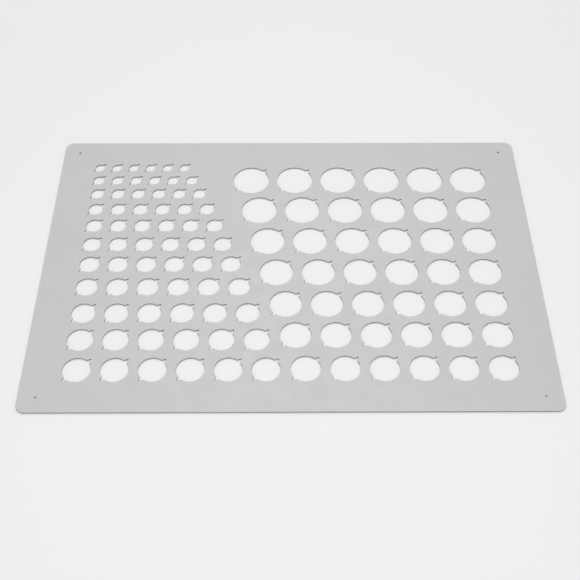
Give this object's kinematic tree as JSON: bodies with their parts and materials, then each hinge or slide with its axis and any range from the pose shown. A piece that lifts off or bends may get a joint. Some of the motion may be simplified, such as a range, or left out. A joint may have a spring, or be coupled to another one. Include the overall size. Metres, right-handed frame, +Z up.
{
  "type": "quilling board",
  "caption": "Flat plastic quilling board with rounded corners: rows of notched round holes in stepped sizes set how far a paper coil opens.",
  "frame": {"origin": "on the underside, below the middle of the sheet", "axes": "+X along the rows of holes, from the small sizes to the large ones; +Y from the front edge to the back edge; +Z up"},
  "size_m": [0.297, 0.21, 0.001],
  "materials": {
    "sheet_plastic": "opaque off-white sheet plastic, fine matt grain, cleanly cut edges"
  },
  "bodies": {
    "root": {"sheet": "sheet_plastic"}
  },
  "joints": []
}
